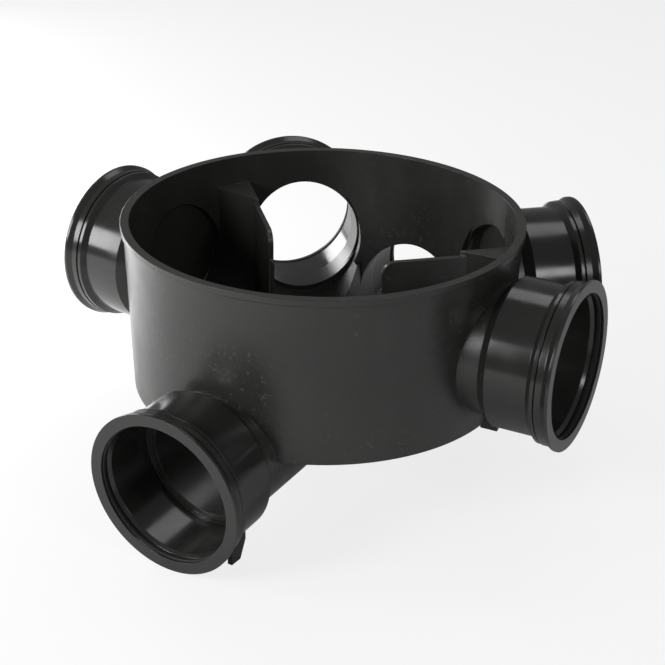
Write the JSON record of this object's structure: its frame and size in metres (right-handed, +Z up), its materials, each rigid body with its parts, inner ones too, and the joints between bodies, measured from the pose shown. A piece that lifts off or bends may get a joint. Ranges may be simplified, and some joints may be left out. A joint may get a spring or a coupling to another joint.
{
  "type": "drain inspection chamber base",
  "caption": "Round open-topped drain inspection chamber base with a channelled floor and ring-seal pipe sockets for an outlet and several inlets.",
  "frame": {"origin": "on the drum axis at ground level, the middle of the part's box at its lowest level", "axes": "+Z up along the drum axis, the outlet leaves along -Y, the main inlet along +Y, square side inlets along +X and -X"},
  "size_m": [0.453, 0.4394, 0.2146],
  "materials": {
    "drum_black": "satin moulded charcoal black",
    "socket_black": "glossy moulded black",
    "cap_black": "semi-gloss moulded black",
    "seal_rubber": "dull black rubber"
  },
  "bodies": {
    "root": {"base": "drum_black", "outlet_socket": "socket_black", "main_inlet_socket": "socket_black", "right_inlet_socket": "socket_black", "left_inlet_socket": "socket_black", "right_skew_socket": "socket_black", "left_skew_socket": "socket_black", "outlet_cap": "cap_black", "main_inlet_cap": "cap_black", "right_inlet_cap": "cap_black", "left_inlet_cap": "cap_black", "right_skew_cap": "cap_black", "left_skew_cap": "cap_black", "outlet_seal": "seal_rubber", "main_inlet_seal": "seal_rubber", "right_inlet_seal": "seal_rubber", "left_inlet_seal": "seal_rubber", "right_skew_seal": "seal_rubber", "left_skew_seal": "seal_rubber"}
  },
  "joints": []
}
